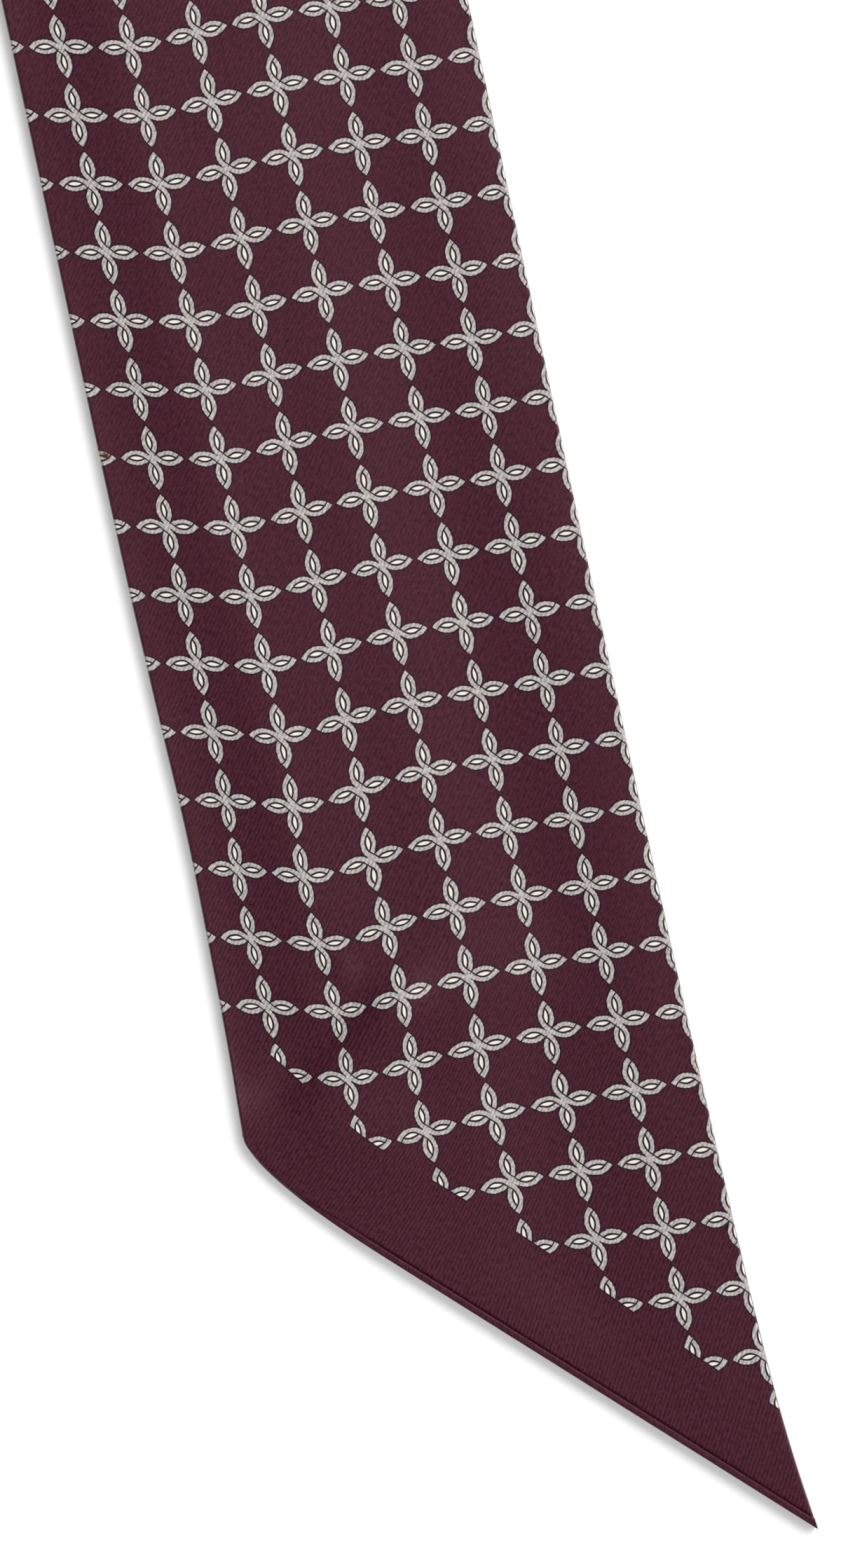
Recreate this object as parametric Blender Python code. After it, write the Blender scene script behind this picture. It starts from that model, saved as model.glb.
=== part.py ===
"""A silk twill neck scarf, laid flat with its face up.

It is a narrow strip folded lengthwise, so that a front layer lies on a back layer. Both ends are cut on a
slant of nearly 45 degrees, parallel to each other, and finished with a narrow rolled edge. Each end has one
sharp point and one blunt corner. The scarf lies along Y on the plane Z = 0, centred on the origin, with its
near point at the low end of Y and on the +X side. Sizes are in metres, and +Z is up.
"""

import functools
import math

import bmesh
import bpy

MM = 0.001

# The strip.
LENGTH = 900 * MM  # from the one point to the other
WIDTH = 60 * MM  # across the folded strip
LAYER = 1.0 * MM  # thickness of one layer's wall
SEAM_GAP = 0.3 * MM  # between pieces that are sewn to each other
FOLD_RADIUS = 0.8 * MM  # rounding of the outer side of the long folds

# The slanting ends.
CUT_SLOPE = math.tan(math.radians(44.4))  # rise of the slanting cut over its run across the strip
POINT_FLARE = 2.3 * MM  # how far the point reaches out past the straight long edge
CORNER_FLARE = 0.9 * MM  # how far the blunt corner does so on the other side
CORNER_UP = 5.2 * MM  # the blunt corner's curve starts this far up the long edge
CORNER_ALONG = 15.5 * MM  # and runs this far across the width
ROLL_WIDTH = 1.2 * MM  # of the rolled edge, seen from above
ROLL_START = 0.4  # share of that width where the roll starts, on the long edge
ROLL_GROWS = 0.3  # share of the corner's curve at which the roll begins to widen
ROLL_FULL = 0.95  # and at which it reaches its full width
ROLL_PROUD = 0.25 * MM  # height of the roll above the front layer beside it

# How the long edges wander near an end, as the cloth was put down: the distance from the point along the
# scarf, then the shift of the edge that ends in the blunt corner and of the one that ends in the point. Both
# are towards +X at the near end.
EDGE_SWAY = (
    # from_point, corner_edge, point_edge
    (0 * MM, -CORNER_FLARE, POINT_FLARE),
    (10 * MM, -CORNER_FLARE, 1.25 * MM),
    (20 * MM, -CORNER_FLARE, 0.62 * MM),
    (36 * MM, -CORNER_FLARE, 0.2 * MM),
    (55 * MM, -CORNER_FLARE, 0.0 * MM),
    (66 * MM, -0.82 * MM, -0.1 * MM),
    (78 * MM, -0.27 * MM, -0.16 * MM),
    (92 * MM, 0.14 * MM, -0.18 * MM),
    (107 * MM, 0.4 * MM, -0.18 * MM),
    (125 * MM, 0.08 * MM, -0.16 * MM),
    (142 * MM, -0.14 * MM, -0.14 * MM),
    (170 * MM, -0.16 * MM, 0.0 * MM),
    (220 * MM, 0.0 * MM, 0.2 * MM),
    (300 * MM, 0.0 * MM, 0.0 * MM),
)

# The front layer's long ridge beside the corner's edge, the trough on the other side of the middle, and the
# low ridge beyond it: share of the width, and height above the cloth's lowest lie.
RIDGE_PROFILE = (
    # across, height
    (0.0, 0.0 * MM),
    (0.06, 0.2 * MM),
    (0.13, 0.3 * MM),
    (0.21, 0.75 * MM),
    (0.3, 0.55 * MM),
    (0.42, 0.4 * MM),
    (0.53, 0.32 * MM),
    (0.69, 0.0 * MM),
    (0.76, 0.0 * MM),
    (0.9, 0.45 * MM),
    (1.0, 0.0 * MM),
)

# How the ridges change on their way: distance from the near point, share of their height, and how far they
# have moved across, as a share of the width.
RIDGE_COURSE = (
    # from_near_point, strength, drift
    (0 * MM, 0.0, -0.05),
    (12 * MM, 0.2, -0.05),
    (30 * MM, 0.5, -0.06),
    (50 * MM, 0.8, -0.06),
    (70 * MM, 1.0, -0.03),
    (90 * MM, 1.1, 0.0),
    (130 * MM, 0.8, 0.0),
    (170 * MM, 0.55, 0.0),
    (210 * MM, 0.45, 0.0),
    (310 * MM, 1.1, 0.01),
    (420 * MM, 0.8, 0.05),
    (530 * MM, 1.15, 0.02),
    (640 * MM, 0.9, -0.04),
    (750 * MM, 1.1, -0.01),
    (850 * MM, 0.6, 0.0),
    (900 * MM, 0.15, 0.0),
)

# Short dents and swells of the front layer: place across from the edge on -X and along from the near point,
# reach across and along, how much it slants (across for each unit along), and height.
CREASES = (
    # across, along, reach_across, reach_along, slant, height
    (23.0 * MM, 76 * MM, 5.0 * MM, 5.0 * MM, 0.7, 1.1 * MM),
    (36.0 * MM, 78 * MM, 10.0 * MM, 5.5 * MM, 0.7, 0.7 * MM),
    (9.5 * MM, 75.5 * MM, 5.5 * MM, 4.8 * MM, 0.7, -0.7 * MM),
    (12.5 * MM, 89 * MM, 3.0 * MM, 4.5 * MM, 0.0, -0.2 * MM),
    (17.0 * MM, 63 * MM, 6.0 * MM, 8.0 * MM, -0.3, 0.35 * MM),
    (49.0 * MM, 8 * MM, 9.0 * MM, 16.0 * MM, 0.0, 0.35 * MM),
    (47.0 * MM, 84 * MM, 3.0 * MM, 12.0 * MM, -0.15, -0.12 * MM),
    (30.0 * MM, 150 * MM, 9.0 * MM, 22.0 * MM, 0.35, 0.1 * MM),
    (12.0 * MM, 246 * MM, 6.0 * MM, 13.0 * MM, 0.5, 0.4 * MM),
    (41.0 * MM, 288 * MM, 8.0 * MM, 17.0 * MM, -0.6, 0.45 * MM),
    (22.0 * MM, 352 * MM, 7.0 * MM, 21.0 * MM, 0.4, -0.3 * MM),
    (35.0 * MM, 421 * MM, 9.0 * MM, 15.0 * MM, 0.7, 0.5 * MM),
    (16.0 * MM, 476 * MM, 6.0 * MM, 19.0 * MM, -0.5, 0.35 * MM),
    (44.0 * MM, 541 * MM, 7.0 * MM, 13.0 * MM, 0.5, -0.3 * MM),
    (25.0 * MM, 603 * MM, 8.0 * MM, 24.0 * MM, -0.4, 0.4 * MM),
    (46.0 * MM, 668 * MM, 6.0 * MM, 12.0 * MM, 0.6, 0.4 * MM),
    (18.0 * MM, 731 * MM, 7.0 * MM, 18.0 * MM, 0.3, -0.35 * MM),
    (38.0 * MM, 792 * MM, 8.0 * MM, 14.0 * MM, -0.5, 0.45 * MM),
    (47.0 * MM, 826 * MM, 5.0 * MM, 5.0 * MM, 0.6, -0.45 * MM),
)
EDGE_CALM = 5 * MM  # the ridges and creases die away over this distance from the edges

# Where the sections of the cloth are taken.
COLUMNS = tuple(x * MM for x in (0, 0.2, 0.5, 0.78, 1.3, 2.3, 3.8, 5.8, 8.4, 11.6, 15.2, 19.6, 24.6, 30))
PLAIN_COLUMNS = tuple(x * MM for x in (0, 0.2, 0.5, 0.78, 2, 5, 12, 30))
NEAR_STATION = 3.5 * MM  # spacing of the stations close to an end
SHOWN_STATION = 10 * MM  # over the rest of the near end
FAR_STATION = 15 * MM  # and beyond that
NEAR_REACH = 45 * MM
SHOWN_REACH = 220 * MM

# The rolled edge's section, as shares of its width inwards and of its height: flat below, round above.
ROLL_SECTION = (
    # inwards, up
    (0.25, 0.0),
    (0.06, 0.12),
    (0.0, 0.42),
    (0.08, 0.74),
    (0.27, 0.94),
    (0.5, 1.0),
    (0.74, 0.95),
    (0.93, 0.8),
    (1.0, 0.6),
    (1.0, 0.0),
)
ROLL_CORNER_SECTIONS = 12
ROLL_CUT_SECTIONS = 10

MAROON = (0.067, 0.022, 0.032, 1.0)


def table_value(rows, column, at):
    """Value of a table's column at a place in its first column, on a smooth curve through the rows."""
    if at <= rows[0][0]:
        return rows[0][column]
    if at >= rows[-1][0]:
        return rows[-1][column]
    k = next(i for i in range(len(rows) - 1) if at < rows[i + 1][0])
    a, b = rows[k], rows[k + 1]
    before, after = rows[max(k - 1, 0)], rows[min(k + 2, len(rows) - 1)]
    span = b[0] - a[0]
    slope_a = (b[column] - before[column]) / (b[0] - before[0]) * span
    slope_b = (after[column] - a[column]) / (after[0] - a[0]) * span
    u = (at - a[0]) / span
    return (
        (2 * u**3 - 3 * u**2 + 1) * a[column]
        + (u**3 - 2 * u**2 + u) * slope_a
        + (3 * u**2 - 2 * u**3) * b[column]
        + (u**3 - u**2) * slope_b
    )


def smooth(x):
    """0 below 0, 1 above 1, and a soft step between."""
    x = min(1.0, max(0.0, x))
    return x * x * (3 - 2 * x)


def edge_shift(side, y):
    """Shift in X of the long edge on side -1 or +1; the far half is the near half turned round."""
    if y > 0:
        return -edge_shift(-side, -y)
    return table_value(EDGE_SWAY, 1 if side < 0 else 2, y + LENGTH / 2)


def across_to_x(across, y):
    """X of a place that lies that far across the strip, measured from the long edge on -X."""
    share = across / WIDTH
    return across - WIDTH / 2 + (1 - share) * edge_shift(-1, y) + share * edge_shift(1, y)


POINT_X, POINT_Y = WIDTH / 2 + POINT_FLARE, -LENGTH / 2
CORNER_X = -WIDTH / 2 - CORNER_FLARE
CORNER_Y = POINT_Y + (POINT_X - CORNER_X) * CUT_SLOPE


def corner_point(u, inset=0.0):
    """Point of the near end's blunt corner, u from 0 on the long edge to 1 on the cut, moved in by inset."""
    along, up = CORNER_ALONG * u, CORNER_UP * (1 - u)
    tangent = (along, -CUT_SLOPE * along - up)
    size = math.hypot(*tangent)
    return (
        CORNER_X + CORNER_ALONG * u * u - tangent[1] / size * inset,
        CORNER_Y - CUT_SLOPE * CORNER_ALONG * u * u + CORNER_UP * (1 - u) ** 2 + tangent[0] / size * inset,
    )


def roll_width(u):
    """Width of the rolled edge at a share of the corner's curve."""
    grown = smooth((u - ROLL_GROWS) / (ROLL_FULL - ROLL_GROWS))
    return ROLL_WIDTH * (ROLL_START + (1 - ROLL_START) * grown)


CORNER_STEPS = 60
CORNER_SHARES = [k / CORNER_STEPS for k in range(CORNER_STEPS + 1)]
LAYER_CORNER = [corner_point(u, roll_width(u) + SEAM_GAP) for u in CORNER_SHARES]


def layer_end_y(x):
    """Y at which the layers end, just inside the rolled edge of the near end."""
    if x <= LAYER_CORNER[0][0]:
        return LAYER_CORNER[0][1] + SEAM_GAP
    for (x0, y0), (x1, y1) in zip(LAYER_CORNER, LAYER_CORNER[1:]):
        if x <= x1:
            return y0 + (y1 - y0) * (x - x0) / (x1 - x0)
    inset = (ROLL_WIDTH + SEAM_GAP) * math.hypot(1, CUT_SLOPE)
    return POINT_Y + (POINT_X - x) * CUT_SLOPE + inset


@functools.cache
def near_end(across):
    """Y at which a column of the layers ends, at its own place across."""
    y = CORNER_Y
    for _ in range(8):
        y = layer_end_y(across_to_x(across, y))
    return y


def layer_point(across, share):
    """(x, y) of a layer at a place across and a share of the way from the near cut to the far one."""
    low, high = near_end(across), -near_end(WIDTH - across)
    y = low + (high - low) * share
    return across_to_x(across, y), y


def swell(across, x, y):
    """Height of the front layer above its lowest lie, which is on the back layer."""
    from_point = y + LENGTH / 2
    strength = table_value(RIDGE_COURSE, 1, from_point)
    drift = table_value(RIDGE_COURSE, 2, from_point)
    height = strength * table_value(RIDGE_PROFILE, 1, across / WIDTH - drift)
    for place, along, reach_across, reach_along, slant, crest in CREASES:
        v = (from_point - along) / reach_along
        w = (across - place - slant * (from_point - along)) / reach_across
        height += crest * math.exp(-v * v - w * w)
    to_fold = min(across, WIDTH - across)
    to_near = (y - layer_end_y(x)) / math.hypot(1, CUT_SLOPE)
    to_far = (-y - layer_end_y(-x)) / math.hypot(1, CUT_SLOPE)
    calm = smooth(to_fold / EDGE_CALM) * smooth(to_near / EDGE_CALM) * smooth(to_far / EDGE_CALM)
    return max(0.0, height * calm)


def fold_drop(across):
    """How far the rounding of the long folds takes off the outer side."""
    inside = FOLD_RADIUS - min(across, WIDTH - across)
    return FOLD_RADIUS - math.sqrt(FOLD_RADIUS**2 - inside**2) if inside > 0 else 0.0


def both_sides(half):
    """Columns of the whole width from those of one half."""
    return [*half, *(WIDTH - x for x in reversed(half[:-1]))]


def station_shares():
    """Stations of the layers along the scarf: close by the ends and wide in the middle."""
    total = LENGTH - WIDTH * CUT_SLOPE
    steps = (
        (NEAR_REACH, NEAR_STATION),
        (SHOWN_REACH, SHOWN_STATION),
        (total - NEAR_REACH, FAR_STATION),
        (2 * total, NEAR_STATION),
    )
    at, out = 0.0, [0.0]
    while at < total:
        at += next(step for reach, step in steps if at < reach)
        out.append(at)
    return [x / out[-1] for x in out]


def add_object(name, bm, material):
    """Object made from a finished bmesh, shaded smooth apart from its sharp edges."""
    bmesh.ops.recalc_face_normals(bm, faces=bm.faces[:])
    mesh = bpy.data.meshes.new(name)
    bm.to_mesh(mesh)
    bm.free()
    mesh.shade_smooth()
    mesh.set_sharp_from_angle(angle=math.radians(50))
    mesh.materials.append(material)
    obj = bpy.data.objects.new(name, mesh)
    bpy.context.scene.collection.objects.link(obj)
    return obj


def layer(name, columns, under_z, top_z, material):
    """A layer of cloth: a grid extruded to a wall, then set to the outline and to its two sides' heights."""
    bm = bmesh.new()
    stations = station_shares()
    across_steps, along_steps = len(columns) - 1, len(stations) - 1
    column = bm.verts.layers.int.new("column")
    station = bm.verts.layers.int.new("station")
    bmesh.ops.create_grid(bm, x_segments=across_steps, y_segments=along_steps, size=0.5)
    for v in bm.verts:
        v[column] = round((v.co.x + 0.5) * across_steps)
        v[station] = round((v.co.y + 0.5) * along_steps)
    made = bmesh.ops.extrude_face_region(bm, geom=bm.faces[:])
    top = {g for g in made["geom"] if isinstance(g, bmesh.types.BMVert)}
    for v in bm.verts:
        across = columns[v[column]]
        x, y = layer_point(across, stations[v[station]])
        v.co = (x, y, top_z(across, x, y) if v in top else under_z(across, x, y))
    return add_object(name, bm, material)


def front_layer(material):
    """The printed upper layer, which swells and dips over the back layer with a wall of even thickness."""
    lie = LAYER + SEAM_GAP
    return layer(
        "front_layer",
        both_sides(COLUMNS),
        lambda across, x, y: lie + swell(across, x, y),
        lambda across, x, y: lie + swell(across, x, y) + LAYER - fold_drop(across),
        material,
    )


def back_layer(material):
    """The lower layer, flat where it rests and rounded below along the folds."""
    return layer(
        "back_layer",
        both_sides(PLAIN_COLUMNS),
        lambda across, x, y: fold_drop(across),
        lambda across, x, y: LAYER,
        material,
    )


def roll_sections():
    """Outer point and inward reach of each section of the near roll, from the long edge to the point."""
    out = []
    for k in range(ROLL_CORNER_SECTIONS + 1):
        u = k / ROLL_CORNER_SECTIONS
        outer, inner = corner_point(u), corner_point(u, roll_width(u))
        out.append((outer, (inner[0] - outer[0], inner[1] - outer[1])))
    start, square = out[-1]
    # The last section lies in the long edge, so the sections lean over on their way along the cut.
    edge_lean = (edge_shift(1, POINT_Y + ROLL_WIDTH) - edge_shift(1, POINT_Y)) / ROLL_WIDTH
    up = ROLL_WIDTH * math.hypot(1, CUT_SLOPE) / (1 + edge_lean * CUT_SLOPE)
    last = (edge_lean * up, up)
    for k in range(1, ROLL_CUT_SECTIONS + 1):
        g = k / ROLL_CUT_SECTIONS
        outer = (start[0] + (POINT_X - start[0]) * g, start[1] + (POINT_Y - start[1]) * g)
        out.append((outer, (square[0] + (last[0] - square[0]) * g, square[1] + (last[1] - square[1]) * g)))
    return out


def end_roll(name, material):
    """The narrow rolled edge that closes a slanting end."""
    height = 2 * LAYER + SEAM_GAP + ROLL_PROUD
    bm = bmesh.new()
    rings = []
    for (x, y), (to_x, to_y) in roll_sections():
        section = [(x + to_x * inwards, y + to_y * inwards, height * up) for inwards, up in ROLL_SECTION]
        rings.append([bm.verts.new(point) for point in section])
    for ring, following in zip(rings, rings[1:]):
        for k in range(len(ring)):
            bm.faces.new((ring[k - 1], ring[k], following[k], following[k - 1]))
    bm.faces.new(rings[0])
    bm.faces.new(reversed(rings[-1]))
    return add_object(name, bm, material)


def silk(name, roughness):
    """Dyed silk twill."""
    material = bpy.data.materials.new(name)
    material.use_nodes = True
    shader = material.node_tree.nodes["Principled BSDF"]
    shader.inputs["Base Color"].default_value = MAROON
    shader.inputs["Roughness"].default_value = roughness
    shader.inputs["Metallic"].default_value = 0.0
    return material


def main():
    for obj in list(bpy.data.objects):
        bpy.data.objects.remove(obj)
    front_layer(silk("printed_silk_front", 0.5))
    back_layer(silk("printed_silk_back", 0.5))
    end_roll("end_roll_near", silk("rolled_silk_near", 0.55))
    far = end_roll("end_roll_far", silk("rolled_silk_far", 0.55))
    far.rotation_euler = (0.0, 0.0, math.pi)


main()
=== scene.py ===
import math

import bmesh
import bpy
import numpy as np
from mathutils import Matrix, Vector, noise


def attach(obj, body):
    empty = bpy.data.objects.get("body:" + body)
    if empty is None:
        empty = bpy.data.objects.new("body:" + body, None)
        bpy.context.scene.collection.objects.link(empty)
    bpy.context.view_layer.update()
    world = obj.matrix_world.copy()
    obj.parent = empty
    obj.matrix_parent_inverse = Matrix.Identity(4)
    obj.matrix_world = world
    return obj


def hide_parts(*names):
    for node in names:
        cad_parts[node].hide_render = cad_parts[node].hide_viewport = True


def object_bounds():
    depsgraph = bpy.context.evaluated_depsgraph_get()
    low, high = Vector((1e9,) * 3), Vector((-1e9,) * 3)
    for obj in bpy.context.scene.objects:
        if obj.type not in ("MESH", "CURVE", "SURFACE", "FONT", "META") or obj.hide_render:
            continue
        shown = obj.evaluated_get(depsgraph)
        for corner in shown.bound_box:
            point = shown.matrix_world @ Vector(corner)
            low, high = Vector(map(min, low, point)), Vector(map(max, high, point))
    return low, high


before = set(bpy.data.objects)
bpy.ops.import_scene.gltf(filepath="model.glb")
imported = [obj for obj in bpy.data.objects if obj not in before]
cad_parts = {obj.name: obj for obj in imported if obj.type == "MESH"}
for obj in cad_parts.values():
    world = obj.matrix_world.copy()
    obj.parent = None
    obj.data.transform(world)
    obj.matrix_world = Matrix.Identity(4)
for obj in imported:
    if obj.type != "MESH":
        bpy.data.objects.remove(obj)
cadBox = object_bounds()

mm = 0.001
gridHalf = 0.5  # a new grid reaches this far from its middle

# Shape sizes are in millimetres here and become metres when a mesh is placed.
scarf = {
    "length": (cadBox[1].y - cadBox[0].y) / mm,  # from point to point
    "width": 60.0,  # across the folded strip
    "thickness": 2.3,  # two layers with air between them, before any swell
    "cutSlope": math.tan(math.radians(44.4)),  # rise of the slanting cut over its run
    "pointFlare": 2.3,  # how far the point reaches out past the straight long edge
    "cornerFlare": 0.9,  # how far the blunt corner does so on the other side
    "cornerUp": 5.2,  # the blunt corner's curve starts this far up the long edge
    "cornerAlong": 15.5,  # and runs this far across the width
    "endPasses": 8,  # rounds in which the end of a swaying column is found
    "edgeSway": [  # from the point, shift of the corner's long edge, shift of the point's long edge
        (0, -0.9, 2.3),
        (10, -0.9, 1.25),
        (20, -0.9, 0.62),
        (36, -0.9, 0.2),
        (55, -0.9, 0.0),
        (66, -0.82, -0.1),
        (78, -0.27, -0.16),
        (92, 0.14, -0.18),
        (107, 0.4, -0.18),
        (125, 0.08, -0.16),
        (142, -0.14, -0.14),
        (170, -0.16, 0.0),
        (220, 0.0, 0.2),
        (300, 0.0, 0.0),
    ],
}


def curveThrough(rows, column, at):  # a smooth curve through one column of a table, by its first column
    table = np.array(rows, float)
    place, value = table[:, 0], table[:, column]
    slope = np.empty_like(value)
    slope[1:-1] = (value[2:] - value[:-2]) / (place[2:] - place[:-2])
    slope[0] = (value[1] - value[0]) / (place[1] - place[0])
    slope[-1] = (value[-1] - value[-2]) / (place[-1] - place[-2])
    at = np.clip(at, place[0], place[-1])
    k = np.clip(np.searchsorted(place, at, side="right") - 1, 0, len(place) - 2)
    span = place[k + 1] - place[k]
    s = (at - place[k]) / span
    start = (2 * s**3 - 3 * s**2 + 1) * value[k] + (s**3 - 2 * s**2 + s) * span * slope[k]
    return start + (3 * s**2 - 2 * s**3) * value[k + 1] + (s**3 - s**2) * span * slope[k + 1]


def softStep(x):  # 0 below 0, 1 above 1
    x = np.clip(x, 0.0, 1.0)
    return x * x * (3 - 2 * x)


# Sway of the long edge on side -1 or 1. The far half is the near half turned round.
def edgeShift(side, y):
    own, other = (1, 2) if side < 0 else (2, 1)
    half = scarf["length"] / 2
    near = curveThrough(scarf["edgeSway"], own, y + half)
    far = -curveThrough(scarf["edgeSway"], other, half - y)
    return np.where(y > 0, far, near)


def acrossToX(across, y):
    share = across / scarf["width"]
    return across - scarf["width"] / 2 + (1 - share) * edgeShift(-1, y) + share * edgeShift(1, y)


point = (scarf["width"] / 2 + scarf["pointFlare"], -scarf["length"] / 2)
cornerX = -scarf["width"] / 2 - scarf["cornerFlare"]
cornerY = point[1] + (point[0] - cornerX) * scarf["cutSlope"]
cutLength = math.hypot(1, scarf["cutSlope"])  # of the cut for each unit across


# The cloth ends against the rolled ends' inner line.
roll = {
    "width": 1.0,  # seen from above
    "startShare": 0.4,  # of that width, where the roll starts on the long edge
    "grows": 0.3,  # share of the corner's curve where it begins to widen
    "full": 0.95,  # and where it has its full width
    "height": 2.33,
    "lowStart": 1.8,  # its height on the long edge, where it is still tucked under the cloth
    "shows": (0.4, 1.0),  # shares of the corner's curve between which it comes out from under
    "squareness": 6.0,  # 2 is an ellipse, more is flatter on top
    "around": 26,
    "cornerSections": 60,
    "cutSections": 170,
    "cornerSamples": 121,  # places along the corner where the cloth's end is worked out
    "wobble": (3.1, 0.07),  # length and height of the hand-rolled edge's unevenness
    "wobbleRow": 4.0,  # row of the noise that it is read from
    "mergeWithin": 1e-7,  # m, which closes each section's ring
    "sharp": 60,  # degrees from which an edge isn't smoothed
    "overlap": 0.12,  # how far the cloth's end goes past the roll's shoulder
    "tucked": 0.08,  # how far inside the outline the cloth ends where it covers the roll
    "comesOut": 0.35,  # share of the corner's curve over which that grows, and the roll reaches the outline
}


def cornerPoint(u, inset):  # the near end's blunt corner, u from 0 on the long edge to 1 on the cut
    tangentX = scarf["cornerAlong"] * u
    tangentY = -scarf["cutSlope"] * tangentX - scarf["cornerUp"] * (1 - u)
    size = np.hypot(tangentX, tangentY)
    x = cornerX + scarf["cornerAlong"] * u**2 - tangentY / size * inset
    fall = scarf["cutSlope"] * scarf["cornerAlong"] * u**2
    return x, cornerY - fall + scarf["cornerUp"] * (1 - u) ** 2 + tangentX / size * inset


def rollWidth(u):
    grown = softStep((u - roll["grows"]) / (roll["full"] - roll["grows"]))
    return roll["width"] * (roll["startShare"] + (1 - roll["startShare"]) * grown)


def rollShows(u):  # 0 where the roll lies under the cloth, 1 where it lies beside it
    start, end = roll["shows"]
    return softStep((u - start) / (end - start))


cornerShares = np.linspace(0, 1, roll["cornerSamples"])
cornerInset = (rollWidth(cornerShares) - roll["overlap"]) * rollShows(cornerShares)
cornerTuck = roll["tucked"] * softStep(cornerShares / roll["comesOut"])
clothCorner = cornerPoint(cornerShares, np.maximum(cornerTuck, cornerInset))


def clothEndY(x):  # where the cloth ends against the near roll
    inset = (roll["width"] - roll["overlap"]) * cutLength
    straight = point[1] + (point[0] - x) * scarf["cutSlope"] + inset
    return np.where(x < clothCorner[0][-1], np.interp(x, *clothCorner), straight)


def nearEnd(across):  # Y at which a column of the cloth ends
    y = np.full_like(across, cornerY)
    for _ in range(scarf["endPasses"]):
        y = clothEndY(acrossToX(across, y))
    return y


# The printed twill is one strip, turned round to a tube that lies flat.
cloth = {
    "wall": 0.2,
    "foldHalf": 0.35,  # half-axis of the folds' section, sideways
    "foldSteps": 9,
    "besideFold": (0.1, 0.35),  # the printed face's first columns, from where the fold ends
    "topStep": 1.07,  # between the others
    "underStep": 5.5,
    "seamAt": 8.0,  # across, on the back
    "seamTurn": 0.25,  # radius of the turned edges
    "seamDeep": 0.8,  # how far they stand up inside
    "seamLower": 0.6,  # share of that height where they have one more point
    "seamGap": 0.05,
    "seamSteps": 4,  # points round each turned edge
    "seamToFold": 3,  # points from the seam to the nearer fold
    "endSteps": (0.25, 6),  # spacing of the first stations and how many there are
    "shownStep": 1.05,  # over the end that is seen close by
    "shownReach": 190.0,
    "farStep": 2.9,
    "grooveWidth": 0.4,  # where the cloth goes down to the roll
    "grooveDeep": 0.38,
    "calm": 10.0,  # ridges and creases die away over this distance from the cut ends
    "calmAtFold": 0.8,  # and over this one from the folds
    "calmRipples": 1.5,  # the ripples do so over this one from both
    "sharp": 70,  # degrees from which an edge isn't smoothed
    "ridges": [  # share of the width, height over the folds: they puff up, and the middle lies lower
        (0.0, 0.0),
        (0.06, -0.24),
        (0.13, -0.08),
        (0.21, 0.3),
        (0.3, 0.02),
        (0.42, -0.3),
        (0.53, -0.4),
        (0.69, -0.88),
        (0.76, -0.8),
        (0.9, -0.1),
        (0.95, 0.02),
        (1.0, 0.0),
    ],
    "course": [  # from the near point, strength of the ridges, drift across as a share of the width
        (0, 0.0, -0.05),
        (12, 0.2, -0.05),
        (30, 0.5, -0.06),
        (50, 0.8, -0.06),
        (70, 1.0, -0.03),
        (90, 1.1, 0.0),
        (130, 0.8, 0.0),
        (170, 0.55, 0.0),
        (210, 0.45, 0.0),
        (310, 1.1, 0.01),
        (420, 0.8, 0.05),
        (530, 1.15, 0.02),
        (640, 0.9, -0.04),
        (750, 1.1, -0.01),
        (850, 0.6, 0.0),
        (900, 0.15, 0.0),
    ],
    "creases": [  # across, from the near point, reach across, reach along, slant, height
        (22.0, 78.5, 5.0, 5.0, 0.7, 1.5),
        (35.0, 80.0, 11.0, 9.0, 0.7, 0.7),
        (8.5, 74.5, 5.0, 5.0, 0.7, -1.1),
        (4.5, 60.0, 4.0, 7.0, 0.0, 0.14),
        (11.5, 82.0, 3.2, 2.2, 0.3, 0.3),
        (16.8, 85.3, 1.5, 2.0, 0.2, 0.4),
        (12.5, 89, 3.0, 4.5, 0.0, -0.2),
        (17.0, 63, 6.0, 8.0, -0.3, 0.35),
        (49.0, 8, 9.0, 16.0, 0.0, 0.35),
        (47.0, 84, 3.0, 12.0, -0.15, -0.12),
        (30.0, 150, 9.0, 22.0, 0.35, 0.1),
        (12.0, 246, 6.0, 13.0, 0.5, 0.4),
        (41.0, 288, 8.0, 17.0, -0.6, 0.45),
        (22.0, 352, 7.0, 21.0, 0.4, -0.3),
        (35.0, 421, 9.0, 15.0, 0.7, 0.5),
        (16.0, 476, 6.0, 19.0, -0.5, 0.35),
        (44.0, 541, 7.0, 13.0, 0.5, -0.3),
        (25.0, 603, 8.0, 24.0, -0.4, 0.4),
        (46.0, 668, 6.0, 12.0, 0.6, 0.4),
        (18.0, 731, 7.0, 18.0, 0.3, -0.35),
        (38.0, 792, 8.0, 14.0, -0.5, 0.45),
        (47.0, 826, 5.0, 5.0, 0.6, -0.45),
    ],
    "ripples": [  # wavelength, height: the soft unevenness of cloth that was smoothed by hand
        (14.0, 0.10),
        (6.5, 0.035),
    ],
}


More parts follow.
